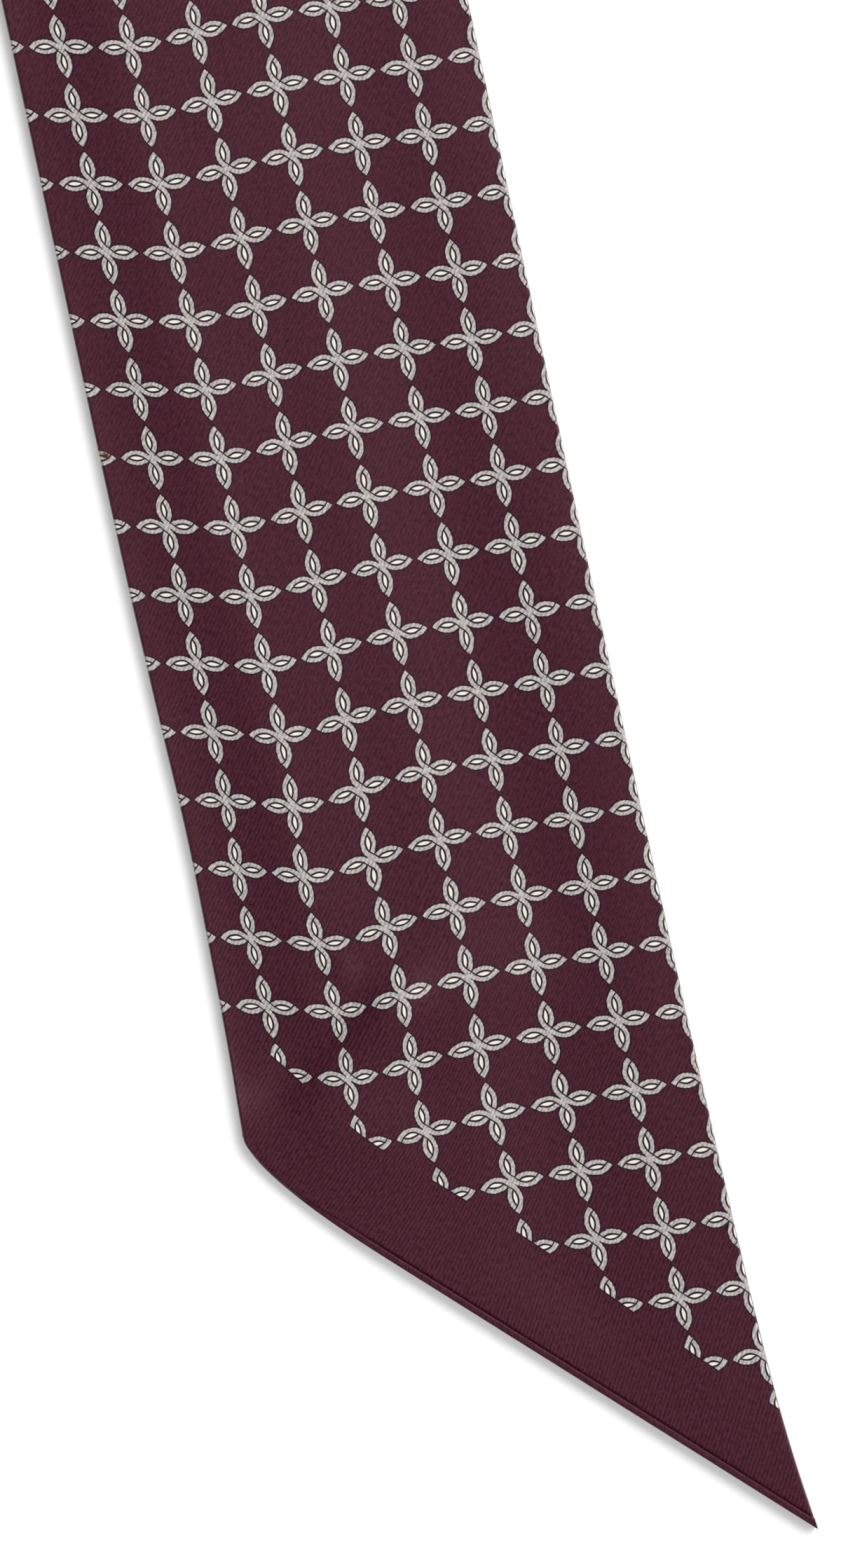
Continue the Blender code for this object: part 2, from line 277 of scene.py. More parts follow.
def swell(across, x, y):  # height of the printed face above its lowest lie
    fromPoint = y + scarf["length"] / 2
    drift = curveThrough(cloth["course"], 2, fromPoint)
    height = curveThrough(cloth["ridges"], 1, across / scarf["width"] - drift)
    height = height * curveThrough(cloth["course"], 1, fromPoint)
    for place, along, reachAcross, reachAlong, slant, crest in cloth["creases"]:
        v = (fromPoint - along) / reachAlong
        w = (across - place - slant * (fromPoint - along)) / reachAcross
        height = height + crest * np.exp(-v * v - w * w)
    toFold = np.minimum(across, scarf["width"] - across)
    toEnd = np.minimum(y - clothEndY(x), -y - clothEndY(-x)) / cutLength
    height = height * softStep(toFold / cloth["calmAtFold"]) * softStep(toEnd / cloth["calm"])
    calm = cloth["calmRipples"]
    for wave, size in cloth["ripples"]:
        flat = zip(x.ravel() / wave, y.ravel() / wave)
        bumps = size * np.reshape([noise.noise(Vector((a, b, wave))) for a, b in flat], x.shape)
        height = height + bumps * softStep(toFold / calm) * softStep(toEnd / calm)
    return height


def clothSection():  # across and height of the strip's section, from the back seam round by the folds
    turn, deep, at = cloth["seamTurn"], cloth["seamDeep"], cloth["seamAt"]
    half, high = cloth["foldHalf"], scarf["thickness"] / 2
    right = scarf["width"] - half
    lower = deep * cloth["seamLower"]
    bend = np.linspace(0, math.pi / 2, cloth["seamSteps"])
    fold = np.linspace(0, math.pi, cloth["foldSteps"])
    first = at - cloth["seamGap"] / 2
    last = at + cloth["seamGap"] / 2
    close, wider = (half + step for step in cloth["besideFold"])
    flat = np.linspace(wider, scarf["width"] - wider, round(scarf["width"] / cloth["topStep"]))
    top = np.concatenate([[half, close], flat, [scarf["width"] - close, right]])
    under = np.linspace(right, last + turn, round((right - last) / cloth["underStep"]) + 1)
    left = np.linspace(first - turn, half, cloth["seamToFold"])
    pieces = [
        (np.full(2, first), np.array([deep, lower])),
        (first - turn + turn * np.cos(bend), turn - turn * np.sin(bend)),
        (left[1:-1], left[1:-1] * 0),
        (half - half * np.sin(fold), high - high * np.cos(fold)),
        (top[1:-1], top[1:-1] * 0 + 2 * high),
        (right + half * np.sin(fold), high + high * np.cos(fold)),
        (under[1:-1], under[1:-1] * 0),
        (last + turn - turn * np.sin(bend), turn - turn * np.cos(bend)),
        (np.full(2, last), np.array([lower, deep])),
    ]
    across = np.concatenate([p[0] for p in pieces])
    up = np.concatenate([p[1] for p in pieces])
    length = np.concatenate([[0], np.cumsum(np.hypot(np.diff(across), np.diff(up)))])
    faceStarts = sum(len(p[0]) for p in pieces[:4]) - 1
    return across, up, length - length[faceStarts] + half


def clothStations():  # shares of the way from the near cut to the far one
    total = scarf["length"] - scarf["width"] * scarf["cutSlope"]
    step, count = cloth["endSteps"]
    ends = np.arange(count) * step
    first = count * step
    shown = np.arange(first, cloth["shownReach"], cloth["shownStep"])
    lastShown = cloth["shownReach"]
    far = np.linspace(lastShown, total - first, round((total - first - lastShown) / cloth["farStep"]) + 1)
    return np.concatenate([ends, shown, far, total - ends[::-1]]) / total


def wallGrid(name, columns, stations, place):  # a grid extruded to a wall; place gives both skins' points
    bm = bmesh.new()
    column, station, skin = (bm.verts.layers.int.new(n) for n in ("column", "station", "skin"))
    bmesh.ops.create_grid(bm, x_segments=columns - 1, y_segments=stations - 1, size=gridHalf)
    for v in bm.verts:
        v[column] = round((v.co.x + gridHalf) * (columns - 1))
        v[station] = round((v.co.y + gridHalf) * (stations - 1))
    made = bmesh.ops.extrude_face_region(bm, geom=bm.faces[:])
    for v in made["geom"]:
        if isinstance(v, bmesh.types.BMVert):
            v[skin] = 1
    for v in bm.verts:
        v.co = place[v[skin], v[station], v[column]] * mm
    bmesh.ops.recalc_face_normals(bm, faces=bm.faces[:])
    mesh = bpy.data.meshes.new(name)
    bm.to_mesh(mesh)
    bm.free()
    return mesh


def vertexMark(mesh, name):  # the whole numbers that the wall's points carry
    out = np.empty(len(mesh.vertices), np.int32)
    mesh.attributes[name].data.foreach_get("value", out)
    return out


def addMap(mesh, name, u, v):  # a UV map from values at the corners
    made = mesh.uv_layers.new(name=name)
    made.data.foreach_set("uv", np.stack([u, v], axis=-1).astype(np.float32).ravel())


def addPiece(name, mesh, material, nodes, sharp):
    mesh.shade_smooth()
    mesh.set_sharp_from_angle(angle=math.radians(sharp))
    mesh.materials.append(material)
    piece = bpy.data.objects.new(name, mesh)
    bpy.context.scene.collection.objects.link(piece)
    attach(piece, "root")
    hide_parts(*nodes)
    return piece


lattice = {
    "middle": (33.1, 173.6),  # across and from the near point, of one motif's centre
    "pitch": (8.9, 9.24),  # across and along
    "border": 13.8,  # steps down the diagonal from that motif to where the print ends
    "farBorder": 72.8,  # steps up the diagonal to where it ends at the far cut
    "rowBend": [  # across, how far a row of motifs lies from straight there
        (-2.3, 3.5),
        (6.6, 1.65),
        (15.3, -0.3),
        (24.2, -0.3),
        (33.1, -0.15),
        (42.1, -0.65),
        (51.0, -1.35),
        (59.9, -1.55),
    ],
    "pulls": [  # across, from the near point, reach across, reach along, pull across, pull along
        (2.0, 155, 8.0, 35.0, 0.3, 0.0),
        (33.0, 153, 60.0, 34.0, 0.27, 0.0),
        (15.0, 97, 14.0, 14.0, -1.2, 0.0),
        (27.0, 67, 13.0, 11.0, -0.85, 0.0),
        (57.0, 60, 12.0, 16.0, 0.35, 0.0),
        (17.0, 97, 8.0, 28.0, 0.0, -1.0),
        (52.0, 70, 11.0, 24.0, 0.0, 0.55),
        (56.0, 125, 12.0, 30.0, 0.0, 0.3),
    ],
}


def latticePull(across, fromPoint):  # how far the laid cloth has dragged the print, across and along
    moveAcross = np.zeros_like(across)
    moveAlong = curveThrough(lattice["rowBend"], 1, across)
    for place, along, reachAcross, reachAlong, pullAcross, pullAlong in lattice["pulls"]:
        near = np.exp(-(((across - place) / reachAcross) ** 2) - ((fromPoint - along) / reachAlong) ** 2)
        moveAcross = moveAcross + pullAcross * near
        moveAlong = moveAlong + pullAlong * near
    return moveAcross, moveAlong


weave = {
    "ribAngle": 36.3,  # degrees that the twill's ribs lean from the scarf's length towards its point's side
    "fan": [  # place across the ribs, degrees that they lean further, where the slanting end was pulled in
        (-47.0, 0.0),
        (-35.0, 5.0),
        (-23.0, 12.0),
        (-12.0, 5.0),
        (0.0, -4.5),
        (12.0, -6.0),
        (40.0, -6.0),
    ],
    "fanMiddle": 50.0,  # place along the ribs around which they lean
    "fanReach": 12.0,
    "rollLean": 0.15,  # of the ribs across the rolled ends
}


def weaveAt(arc, fromPoint):  # place across the ribs and along them
    angle = math.radians(weave["ribAngle"])
    over = arc * math.cos(angle) - fromPoint * math.sin(angle)
    along = arc * math.sin(angle) + fromPoint * math.cos(angle)
    fan = np.radians(curveThrough(weave["fan"], 1, over)) * weave["fanReach"]
    return over - fan * np.tanh((along - weave["fanMiddle"]) / weave["fanReach"]), along


bakeLayout = {
    "strips": 3,  # lengths that the face is cut into on the baked map
    "faceShare": 0.8,  # of the map's width, for the printed face
    "backStrips": 2,
    "hiddenShare": 0.01,  # for the inner skin
    "margin": 0.004,
    "endRoom": 1.01,  # for the faces that cross a strip's end
    "pastFace": 0.6,  # mm mapped beyond the face's two edges
    "backTail": 10.0,  # mm kept for the cloth between the seam and its nearer fold
}


def makeCloth(material):
    across, up, arc = clothSection()
    shares = clothStations()
    low, high = nearEnd(across), -nearEnd(scarf["width"] - across)
    y = low + (high - low) * shares[:, None]
    acrossAll = np.broadcast_to(across, y.shape)
    x = acrossToX(acrossAll, y)
    toEnd = np.minimum(y - clothEndY(x), -y - clothEndY(-x)) / cutLength
    groove = cloth["grooveDeep"] * (1 - softStep(toEnd / cloth["grooveWidth"]))
    rise = (scarf["thickness"] + swell(acrossAll, x, y) - groove) / scarf["thickness"]
    z = np.where(up > cloth["seamTurn"], up * rise, up)
    inSeam = (np.abs(across - cloth["seamAt"]) < 2 * cloth["seamTurn"]) & (up < scarf["thickness"] / 2)
    z = np.where(inSeam, up, z)

    # The inner skin lies inside by the wall's thickness, at right angles to the section.
    runAcross, runUp = np.gradient(acrossAll, axis=1), np.gradient(z, axis=1)
    size = np.hypot(runAcross, runUp)
    innerAcross = acrossAll + runUp / size * cloth["wall"]
    innerZ = z - runAcross / size * cloth["wall"]
    outer = np.stack([x, y, z], axis=-1)
    inner = np.stack([acrossToX(innerAcross, y), y, innerZ], axis=-1)
    mesh = wallGrid("printed_tube", len(across), len(shares), np.stack([outer, inner]))

    column, station, skin = (vertexMark(mesh, n) for n in ("column", "station", "skin"))
    corner = np.empty(len(mesh.loops), np.int32)
    mesh.loops.foreach_get("vertex_index", corner)
    cornerColumn, cornerStation = column[corner], station[corner]
    fromPoint = y + scarf["length"] / 2
    moveAcross, moveAlong = latticePull(acrossAll, fromPoint)
    gridU = (arc - lattice["middle"][0] - moveAcross) / lattice["pitch"][0]
    gridV = (fromPoint - lattice["middle"][1] - moveAlong) / lattice["pitch"][1]
    upGrid = (acrossAll - lattice["middle"][0] - moveAcross) / lattice["pitch"][0] + gridV
    arcAll = np.broadcast_to(arc, y.shape)
    at = (cornerStation, cornerColumn)
    weaveU, weaveV = weaveAt(arcAll, fromPoint)
    addMap(mesh, "cloth", arcAll[at], fromPoint[at])
    addMap(mesh, "weave", weaveU[at], weaveV[at])
    addMap(mesh, "lattice", gridU[at], gridV[at])
    addMap(mesh, "border", upGrid[at] + lattice["border"], lattice["farBorder"] - upGrid[at])

    # The baked map holds the face as strips side by side, then the back, then the hidden skin.
    faceStation = cornerStation.reshape(-1, 4).min(axis=1).repeat(4)
    faceColumn = cornerColumn.reshape(-1, 4).min(axis=1).repeat(4)
    faceSkin = skin[corner].reshape(-1, 4).max(axis=1).repeat(4)
    faceMiddle = (arc[faceColumn] + arc[np.minimum(faceColumn + 1, len(arc) - 1)]) / 2
    foldArc = math.pi * scarf["thickness"] / 4
    onFace = (faceMiddle > -foldArc) & (faceMiddle < scarf["width"] + foldArc)
    margin = bakeLayout["margin"]
    split = bakeLayout["faceShare"]
    shareAlong = shares[cornerStation]

    def stripMap(count, start, width, begin, end, position):
        number = np.minimum((shares[faceStation] * count).astype(int), count - 1)
        inStrip = (position - begin) / (end - begin)
        u = start + (number + margin + inStrip * (1 - 2 * margin * count)) * width / count
        return u, margin + (shareAlong * count - number) * (1 - 4 * margin) / bakeLayout["endRoom"]

    arcHere = arc[cornerColumn]
    arcWhole = arc[-1] - arc[0]
    faceEdge = foldArc + bakeLayout["pastFace"]
    faceU, faceV = stripMap(bakeLayout["strips"], 0, split, -faceEdge, scarf["width"] + faceEdge, arcHere)
    hidden = bakeLayout["hiddenShare"]
    backWidth = 1 - split - hidden
    backPlace = np.where(arcHere < scarf["width"] / 2, arcHere + arcWhole, arcHere)
    backEnd = arc[-1] + foldArc + bakeLayout["backTail"]
    backU, backV = stripMap(bakeLayout["backStrips"], split, backWidth, scarf["width"], backEnd, backPlace)
    hiddenU = 1 - hidden + margin + (arcHere - arc[0]) / arcWhole * (hidden - 2 * margin)
    bakeU = np.where(faceSkin > 0, hiddenU, np.where(onFace, faceU, backU))
    bakeV = np.where(faceSkin > 0, margin + shareAlong * (1 - 2 * margin), np.where(onFace, faceV, backV))
    addMap(mesh, "OFBake", bakeU, bakeV)
    for name in ("column", "station", "skin"):
        mesh.attributes.remove(mesh.attributes[name])
    mesh.uv_layers.active = mesh.uv_layers["cloth"]
    layers = ("front_layer", "back_layer")
    return addPiece("printed_tube", mesh, material, layers, cloth["sharp"])


def makeRoll(name, node, turned, material):
    u = np.linspace(0, 1, roll["cornerSections"] + 1)
    outerX, outerY = cornerPoint(u, roll["tucked"] * (1 - softStep(u / roll["comesOut"])))
    innerX, innerY = cornerPoint(u, rollWidth(u))
    inX, inY = innerX - outerX, innerY - outerY
    # The last section lies in the long edge, so the sections lean over on their way along the cut.
    nudge = roll["width"]
    lean = (edgeShift(1, np.array(point[1] + nudge)) - edgeShift(1, np.array(point[1]))) / nudge
    rise = nudge * cutLength / (1 + lean * scarf["cutSlope"])
    g = np.linspace(0, 1, roll["cutSections"] + 1)[1:]
    outerX = np.concatenate([outerX, outerX[-1] + (point[0] - outerX[-1]) * g])
    outerY = np.concatenate([outerY, outerY[-1] + (point[1] - outerY[-1]) * g])
    inX = np.concatenate([inX, inX[-1] + (lean * rise - inX[-1]) * g])
    inY = np.concatenate([inY, inY[-1] + (rise - inY[-1]) * g])
    along = np.concatenate([[0], np.cumsum(np.hypot(np.diff(outerX), np.diff(outerY)))])

    turn = np.linspace(0, 2 * math.pi, roll["around"] + 1)[:-1]
    power = 2 / roll["squareness"]
    inward = 0.5 - 0.5 * np.sign(np.cos(turn)) * np.abs(np.cos(turn)) ** power
    upward = 0.5 + 0.5 * np.sign(np.sin(turn)) * np.abs(np.sin(turn)) ** power
    wave, rough = roll["wobble"]
    wobble = np.array([noise.noise(Vector((a / wave, 0.0, roll["wobbleRow"]))) for a in along])
    out = np.concatenate([rollShows(u), np.ones(len(g))])
    height = roll["lowStart"] + (roll["height"] - roll["lowStart"]) * out + rough * wobble
    x = outerX[:, None] + inX[:, None] * inward
    y = outerY[:, None] + inY[:, None] * inward
    z = height[:, None] * upward + 0 * x
    side = -1 if turned else 1

    bm = bmesh.new()
    column, station = (bm.verts.layers.int.new(n) for n in ("column", "station"))
    columns, stations = len(turn) + 1, len(along)
    bmesh.ops.create_grid(bm, x_segments=columns - 1, y_segments=stations - 1, size=gridHalf)
    for v in bm.verts:
        k = round((v.co.x + gridHalf) * (columns - 1))
        n = round((v.co.y + gridHalf) * (stations - 1))
        v[column], v[station] = k, n
        v.co = (side * x[n, k % len(turn)] * mm, side * y[n, k % len(turn)] * mm, z[n, k % len(turn)] * mm)
    maps = bm.loops.layers.uv.new("weave")
    runIn = np.diff(inward, append=inward[0]) * roll["width"]
    runUp = np.diff(upward, append=upward[0]) * roll["height"]
    around = np.concatenate([[0], np.cumsum(np.hypot(runIn, runUp))])
    for face in bm.faces:
        for loop in face.loops:
            aroundHere, alongHere = around[loop.vert[column]], along[loop.vert[station]]
            loop[maps].uv = (alongHere + weave["rollLean"] * aroundHere, aroundHere)
    bmesh.ops.remove_doubles(bm, verts=bm.verts[:], dist=roll["mergeWithin"])
    bmesh.ops.holes_fill(bm, edges=[e for e in bm.edges if e.is_boundary], sides=0)
    bmesh.ops.recalc_face_normals(bm, faces=bm.faces[:])
    mesh = bpy.data.meshes.new(name)
    bm.to_mesh(mesh)
    bm.free()
    for mark in ("column", "station"):
        mesh.attributes.remove(mesh.attributes[mark])
    return addPiece(name, mesh, material, (node,), roll["sharp"])


def hexColour(text):  # sRGB hex to linear
    parts = [int(text[k:k + 2], 16) / 255 for k in (1, 3, 5)]
    linear = [c / 12.92 if c <= 0.04045 else ((c + 0.055) / 1.055) ** 2.4 for c in parts]
    return (*linear, 1.0)


# A node with its settings, its links from other nodes and its own values.
def addNode(tree, kind, settings=None, links=None, values=None):
    node = tree.nodes.new(kind)
    for key, value in (settings or {}).items():
        setattr(node, key, value)
    for key, value in (values or {}).items():
        node.inputs[key].default_value = value
    for key, source in (links or {}).items():
        tree.links.new(source, node.inputs[key])
    return node


twill = {
    "maroon": "#210a12",
    "maroonLight": "#421c29",
    "ribSpacing": 0.49,  # mm between the diagonal ribs
    "ribHeight": 0.011,  # mm
    "ribBump": 0.6,
    "ribWander": 0.4,  # how far a rib strays, then the detail, scale and roughness of that
    "ribWanderDetail": 2.0,
    "ribWanderScale": 1.5,
    "ribWanderRoughness": 0.6,
    "ribTone": (0.58, 0.26),  # the ribs' share in the light and dark, in the border and in the print
    "ribFade": (0.0, 10.0),  # from the first to the second, in steps of the print from its border
    "mottle": 0.4,  # mm, size of the dye's fine unevenness
    "mottleTone": 2.4,  # its share in the light and dark
    "mottleAlong": 0.6,  # below 1 it is drawn out along the ribs
    "mottleDetail": 4.0,
    "mottleRoughness": 0.7,
    "roughness": 0.42,
    "ior": 1.5,
    "gloss": 0.26,
    "glossTint": "#e0b0b8",
    "dark": "#120a12",
    "band": "#a9a5a2",
    "bandShade": "#7c7776",
    "bandTint": (2.0, -0.25),  # contrast and shift of the change between those two
    "bandTintScale": 2.2,  # how often it changes in 1 mm
    "bandTintDetail": 2.0,
    "bandRibs": -0.5,  # the ribs' share in it
    "kernel": "#c4c1b8",
    "stain": "#34190e",
    "stains": [  # round the section and from the near point in mm, reach, strength
        (0.9, 158.3, 1.1, 1.0),
        (1.1, 106.8, 1.0, 0.7),
    ],
}

motif = {  # a petal along its axis, in mm
    "pitch": 9.1,  # from one motif's centre to the next
    "middle": 2.12,  # from the motif's centre to the petal's own
    "half": 2.09,  # half its length
    "widest": 0.97,  # half its width
    "joint": 0.45,  # radius that the four petals fill where they meet
    "blunt": 2.1,  # 2 is a lens with sharp tips, more is blunter
    "outline": 0.19,  # dark edge round the petal
    "line": 0.27,  # dark gaps between its light parts
    "strandSide": 0.48,  # how far off the axis the two bands' edges lie in the middle
    "strandBend": 0.28,  # how fast they cross over towards the tips
    "strandTip": 0.03,  # and how much faster the lower one does
    "soft": 0.11,  # width over which one ink becomes the next
    "hand": 0.12,  # how far the drawing strays sideways
    "handScale": 0.9,  # how often it strays in 1 mm
    "notch": 0.035,  # how far the ink's edge follows the ribs
}


def motifSteps():  # name, operation, up to three inputs: numbers or the names of earlier steps
    soft = 1 / motif["soft"]
    steep = 2 * motif["widest"] / motif["half"]
    return [
        ("cellU", "WRAP", "gridU", 0.5, -0.5),
        ("cellV", "WRAP", "gridV", 0.5, -0.5),
        ("x", "MULTIPLY", "cellU", motif["pitch"]),
        ("y", "MULTIPLY", "cellV", motif["pitch"]),
        ("sizeX", "ABSOLUTE", "x"),
        ("sizeY", "ABSOLUTE", "y"),
        ("along", "MAXIMUM", "sizeX", "sizeY"),
        ("sum", "ADD", "x", "y"),
        ("difference", "SUBTRACT", "x", "y"),
        ("sumSize", "ABSOLUTE", "sum"),
        ("differenceSize", "ABSOLUTE", "difference"),
        ("twiceAside", "SUBTRACT", "sumSize", "differenceSize"),
        ("wobble", "MULTIPLY_ADD", "handNoise", motif["hand"], -motif["hand"] / 2),
        ("aside", "MULTIPLY_ADD", "twiceAside", 0.5, "wobble"),
        ("fromMiddle", "SUBTRACT", "along", motif["middle"]),
        ("share", "DIVIDE", "fromMiddle", motif["half"]),
        ("shareSize", "ABSOLUTE", "share"),
        ("taper", "POWER", "shareSize", motif["blunt"]),
        ("halfWidth", "MULTIPLY_ADD", "taper", -motif["widest"], motif["widest"]),
        ("asideSize", "ABSOLUTE", "aside"),
        ("beyond", "SUBTRACT", "asideSize", "halfWidth"),
        ("slope", "MULTIPLY", "share", steep),
        ("slopeSquare", "MULTIPLY_ADD", "slope", "slope", 1.0),
        ("slopeLength", "SQRT", "slopeSquare"),
        ("offPetal", "DIVIDE", "beyond", "slopeLength"),
        ("ySquare", "MULTIPLY", "y", "y"),
        ("radiusSquare", "MULTIPLY_ADD", "x", "x", "ySquare"),
        ("radius", "SQRT", "radiusSquare"),
        ("offJoint", "SUBTRACT", "radius", motif["joint"]),
        ("offShape", "MINIMUM", "offPetal", "offJoint"),
        ("notch", "MULTIPLY_ADD", "ribHeight", motif["notch"], -motif["notch"] / 2),
        ("offInk", "ADD", "offShape", "notch"),
        ("pastNear", "MULTIPLY", "fromNearBorder", -motif["pitch"] / math.sqrt(2)),
        ("pastFar", "MULTIPLY", "fromFarBorder", -motif["pitch"] / math.sqrt(2)),
        ("pastBorder", "MAXIMUM", "pastNear", "pastFar"),
        ("outside", "MAXIMUM", "offInk", "pastBorder"),
        ("square", "MULTIPLY", "fromMiddle", "fromMiddle"),
        ("fourth", "MULTIPLY", "square", "square"),
        ("strandBase", "MULTIPLY_ADD", "square", motif["strandBend"], -motif["strandSide"]),
        ("strandEdge", "MULTIPLY_ADD", "fourth", motif["strandTip"], "strandBase"),
        ("closingEdge", "MULTIPLY_ADD", "square", -motif["strandBend"], motif["strandSide"]),
        ("overStrand", "SUBTRACT", "aside", "strandEdge"),
        ("overClosing", "SUBTRACT", "aside", "closingEdge"),
        ("clearOfStrand", "SUBTRACT", "overStrand", motif["line"]),
        ("closingSide", "MINIMUM", "overClosing", "clearOfStrand"),
        ("underClosing", "MULTIPLY_ADD", "overClosing", -1.0, -motif["line"]),
        ("kernelSide", "MINIMUM", "underClosing", "clearOfStrand"),
        ("strand", "MULTIPLY_ADD clamp", "overStrand", -soft, 0.5),
        ("closing", "MULTIPLY_ADD clamp", "closingSide", soft, 0.5),
        ("kernel", "MULTIPLY_ADD clamp", "kernelSide", soft, 0.5),
        ("inside", "MULTIPLY_ADD clamp", "outside", -soft, 0.5),
        ("darkInk", "MULTIPLY_ADD clamp", "outside", -soft, motif["outline"] * soft + 0.5),
        ("bands", "MAXIMUM", "strand", "closing"),
        ("bandInk", "MULTIPLY", "bands", "inside"),
        ("kernelInk", "MULTIPLY", "kernel", "inside"),
        ("tint", "MULTIPLY_ADD", "tintNoise", *twill["bandTint"]),
        ("bandTone", "MULTIPLY_ADD clamp", "ribHeight", twill["bandRibs"], "tint"),
    ]


colourA, colourB, colourMade = 6, 7, 2  # sockets of a Mix node that mixes colours


# Silk twill: diagonal ribs of fine filament, a soft directional gloss, and dye that is a little uneven.
def makeTwill(name, printed):
    material = bpy.data.materials.new(name)
    material.use_nodes = True
    tree = material.node_tree
    tree.nodes.clear()
    out = addNode(tree, "ShaderNodeOutputMaterial")
    weaveMap = addNode(tree, "ShaderNodeUVMap", {"uv_map": "weave"})
    waveLength = math.pi / 10  # of the wave texture's bands at scale 1
    ribs = addNode(tree, "ShaderNodeTexWave", {"wave_type": "BANDS", "bands_direction": "X"},
                   {"Vector": weaveMap.outputs["UV"]},
                   {"Scale": waveLength / twill["ribSpacing"], "Distortion": twill["ribWander"],
                    "Detail": twill["ribWanderDetail"], "Detail Scale": twill["ribWanderScale"],
                    "Detail Roughness": twill["ribWanderRoughness"]})
    alongRibs = addNode(tree, "ShaderNodeVectorMath", {"operation": "MULTIPLY"},
                        {0: weaveMap.outputs["UV"]}, {1: (1.0, twill["mottleAlong"], 1.0)})
    mottle = addNode(tree, "ShaderNodeTexNoise", {"noise_dimensions": "2D"},
                     {"Vector": alongRibs.outputs[0]},
                     {"Scale": 1 / twill["mottle"], "Detail": twill["mottleDetail"],
                      "Roughness": twill["mottleRoughness"]})
    ribWave = addNode(tree, "ShaderNodeMath", {"operation": "SUBTRACT"}, {0: ribs.outputs["Fac"]}, {1: 0.5})
    shadeLinks = {0: ribWave.outputs[0]}
    shadeValues = {1: twill["ribTone"][1], 2: 0.5 - twill["mottleTone"] / 2}
    if printed:
        borderMap = addNode(tree, "ShaderNodeUVMap", {"uv_map": "border"})
        border = addNode(tree, "ShaderNodeSeparateXYZ", links={"Vector": borderMap.outputs["UV"]})
        nearest = addNode(tree, "ShaderNodeMath", {"operation": "MINIMUM"},
                          {0: border.outputs["X"], 1: border.outputs["Y"]})
        ribFade = addNode(tree, "ShaderNodeMapRange", {"interpolation_type": "SMOOTHSTEP"},
                          {"Value": nearest.outputs[0]},
                          {"From Min": twill["ribFade"][0], "From Max": twill["ribFade"][1],
                           "To Min": twill["ribTone"][0], "To Max": twill["ribTone"][1]})
        shadeLinks[1] = ribFade.outputs[0]
        del shadeValues[1]
    ribShade = addNode(tree, "ShaderNodeMath", {"operation": "MULTIPLY_ADD"}, shadeLinks, shadeValues)
    tone = addNode(tree, "ShaderNodeMath", {"operation": "MULTIPLY_ADD", "use_clamp": True},
                   {0: mottle.outputs["Fac"], 2: ribShade.outputs[0]}, {1: twill["mottleTone"]})
    ground = addNode(tree, "ShaderNodeMix", {"data_type": "RGBA"}, {"Factor": tone.outputs[0]},
                     {colourA: hexColour(twill["maroon"]), colourB: hexColour(twill["maroonLight"])})
    colour = ground.outputs[colourMade]
    if printed:
        clothMap = addNode(tree, "ShaderNodeUVMap", {"uv_map": "cloth"})
        latticeMap = addNode(tree, "ShaderNodeUVMap", {"uv_map": "lattice"})
        grid = addNode(tree, "ShaderNodeSeparateXYZ", links={"Vector": latticeMap.outputs["UV"]})
        hand = addNode(tree, "ShaderNodeTexNoise", {"noise_dimensions": "2D"},
                       {"Vector": clothMap.outputs["UV"]}, {"Scale": motif["handScale"], "Detail": 0.0})
        tint = addNode(tree, "ShaderNodeTexNoise", {"noise_dimensions": "2D"},
                       {"Vector": clothMap.outputs["UV"]},
                       {"Scale": twill["bandTintScale"], "Detail": twill["bandTintDetail"]})
        made = {
            "gridU": grid.outputs["X"],
            "gridV": grid.outputs["Y"],
            "fromNearBorder": border.outputs["X"],
            "fromFarBorder": border.outputs["Y"],
            "handNoise": hand.outputs["Fac"],
            "tintNoise": tint.outputs["Fac"],
            "ribHeight": ribs.outputs["Fac"],
        }
        for stepName, operation, *inputs in motifSteps():
            settings = {"operation": operation.split()[0], "use_clamp": operation.endswith("clamp")}
            links = {k: made[i] for k, i in enumerate(inputs) if isinstance(i, str)}
            values = {k: i for k, i in enumerate(inputs) if not isinstance(i, str)}
            made[stepName] = addNode(tree, "ShaderNodeMath", settings, links, values).outputs[0]
        bandColour = addNode(tree, "ShaderNodeMix", {"data_type": "RGBA"}, {"Factor": made["bandTone"]},
                             {colourA: hexColour(twill["bandShade"]), colourB: hexColour(twill["band"])})
        for ink, inkColour in (
            ("darkInk", hexColour(twill["dark"])),
            ("bandInk", bandColour.outputs[colourMade]),
            ("kernelInk", hexColour(twill["kernel"])),
        ):
            links = {"Factor": made[ink], colourA: colour}
            values = {}
            if isinstance(inkColour, tuple):
                values[colourB] = inkColour
            else:
                links[colourB] = inkColour
            inked = addNode(tree, "ShaderNodeMix", {"data_type": "RGBA"}, links, values)
            colour = inked.outputs[colourMade]
        for around, fromPoint, reach, strength in twill["stains"]:
            away = addNode(tree, "ShaderNodeVectorMath", {"operation": "DISTANCE"},
                           {0: clothMap.outputs["UV"]}, {1: (around, fromPoint, 0.0)})
            spot = addNode(tree, "ShaderNodeMapRange", {"interpolation_type": "SMOOTHSTEP"},
                           {"Value": away.outputs["Value"]},
                           {"From Min": 0.0, "From Max": reach, "To Min": strength, "To Max": 0.0})
            stained = addNode(tree, "ShaderNodeMix", {"data_type": "RGBA"},
                              {"Factor": spot.outputs[0], colourA: colour},
                              {colourB: hexColour(twill["stain"])})
            colour = stained.outputs[colourMade]
    bump = addNode(tree, "ShaderNodeBump", links={"Height": ribs.outputs["Fac"]},
                   values={"Strength": twill["ribBump"], "Distance": twill["ribHeight"] * mm})
    shader = addNode(tree, "ShaderNodeBsdfPrincipled",
                     links={"Base Color": colour, "Normal": bump.outputs[0]},
                     values={"Roughness": twill["roughness"], "IOR": twill["ior"],
                             "Specular IOR Level": twill["gloss"],
                             "Specular Tint": hexColour(twill["glossTint"])})
    tree.links.new(shader.outputs[0], out.inputs["Surface"])
    return material


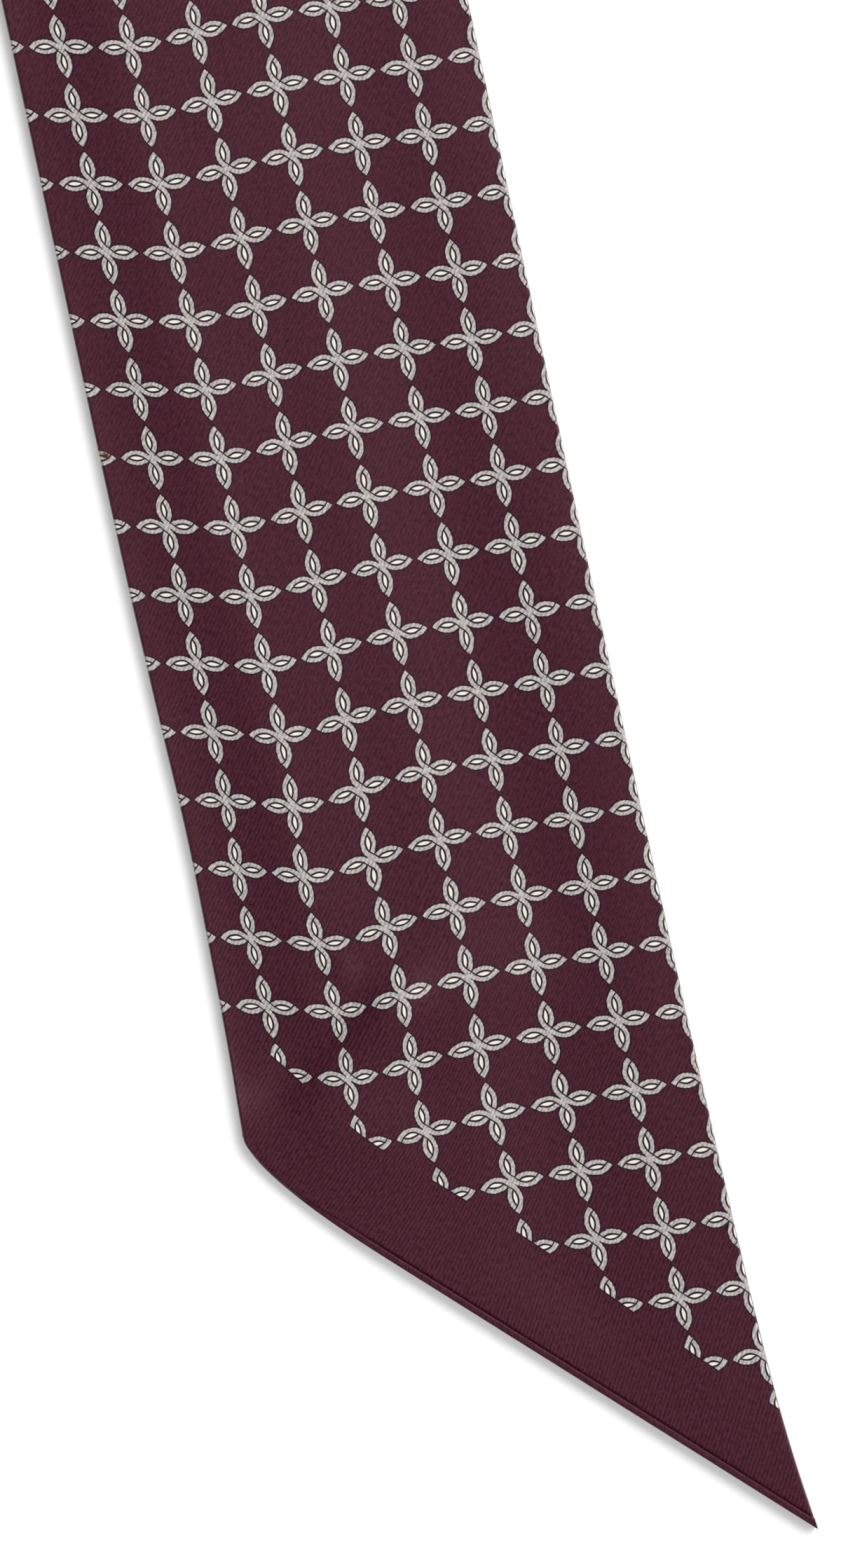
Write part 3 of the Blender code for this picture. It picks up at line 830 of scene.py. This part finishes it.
studio = {
    "paper": "#e9e9e9",
    "paperRoughness": 0.9,
    "floorSize": 6.0,  # m
    "floorBelow": 0.05,  # mm
    "aim": (2.02, -342.8),  # mm, what the camera looks straight down at
    "visible": 206.6,  # mm of the picture's height on the scarf's face
    "lens": 100.0,
    "sensor": 36.0,  # the longer side
    "clipStart": 0.01,  # m
    "turn": -12.3,  # degrees
    "dimWall": 0.08,
    "whiteWall": 0.9,
    "wallFade": (-0.5, 0.6),  # X of the way looked, where the first ends and the second begins
    "lamps": [  # name, place from the aim in m, size in m, watts, whether the silk's gloss shows it
        ("key", (0.68, 0.22, 0.76), 0.8, 7.6, True),
        ("gloss", (0.32, 0.34, 0.66), 0.45, 2.3, True),
        ("fill", (-0.26, -0.2, 0.75), 0.8, 3.6, False),
    ],
}


def makePaper():  # seamless white paper: matt, so that it only takes a soft shadow
    material = bpy.data.materials.new("white_paper")
    material.use_nodes = True
    shader = material.node_tree.nodes["Principled BSDF"]
    shader.inputs["Base Color"].default_value = hexColour(studio["paper"])
    shader.inputs["Roughness"].default_value = studio["paperRoughness"]
    shader.inputs["Specular IOR Level"].default_value = 0.0
    return material


def makeStudio():
    mesh = bpy.data.meshes.new("floor")
    bm = bmesh.new()
    bmesh.ops.create_grid(bm, x_segments=1, y_segments=1, size=studio["floorSize"] / 2)
    bmesh.ops.translate(bm, verts=bm.verts[:], vec=(0, 0, -studio["floorBelow"] * mm))
    bm.to_mesh(mesh)
    bm.free()
    mesh.materials.append(makePaper())
    floor = bpy.data.objects.new("floor", mesh)
    bpy.context.scene.collection.objects.link(floor)

    aim = Vector((studio["aim"][0] * mm, studio["aim"][1] * mm, scarf["thickness"] * mm))
    for name, place, size, watts, glossy in studio["lamps"]:
        light = bpy.data.lights.new(name, "AREA")
        light.shape = "DISK"
        light.size = size
        light.energy = watts
        lamp = bpy.data.objects.new(name, light)
        lamp.visible_glossy = glossy
        lamp.location = aim + Vector(place)
        lamp.rotation_euler = (aim - lamp.location).to_track_quat("-Z", "Y").to_euler()
        bpy.context.scene.collection.objects.link(lamp)

    world = bpy.data.worlds.new("studio")
    bpy.context.scene.world = world
    world.use_nodes = True
    tree = world.node_tree
    tree.nodes.clear()
    out = addNode(tree, "ShaderNodeOutputWorld")
    place = addNode(tree, "ShaderNodeTexCoord")
    parts = addNode(tree, "ShaderNodeSeparateXYZ", links={"Vector": place.outputs["Generated"]})
    # A white wall on the lamp's side and a dim one across from it, so that the silk's low slopes show.
    level = addNode(tree, "ShaderNodeMapRange", {"interpolation_type": "SMOOTHSTEP"},
                    {"Value": parts.outputs["X"]},
                    {"From Min": studio["wallFade"][0], "From Max": studio["wallFade"][1],
                     "To Min": studio["dimWall"], "To Max": studio["whiteWall"]})
    sky = addNode(tree, "ShaderNodeBackground", links={"Strength": level.outputs[0]},
                  values={"Color": (1, 1, 1, 1)})
    tree.links.new(sky.outputs[0], out.inputs["Surface"])

    view = bpy.data.cameras.new("view")
    view.lens = studio["lens"]
    view.sensor_width = studio["sensor"]
    view.clip_start = studio["clipStart"]
    camera = bpy.data.objects.new("view", view)
    away = studio["visible"] * studio["lens"] / studio["sensor"] * mm
    camera.location = aim + Vector((0, 0, away))
    camera.rotation_euler = (0, 0, math.radians(studio["turn"]))
    bpy.context.scene.collection.objects.link(camera)
    bpy.context.scene.camera = camera
    bpy.context.scene.view_settings.view_transform = "Standard"


makeStudio()
print("studio ready")
tube = makeCloth(makeTwill("printed_silk_twill", True))
print("printed tube ready")
rolledTwill = makeTwill("rolled_silk_twill", False)
nearRoll = makeRoll("rolled_edge_near", "end_roll_near", False, rolledTwill)
farRoll = makeRoll("rolled_edge_far", "end_roll_far", True, rolledTwill)
print("rolled ends ready")
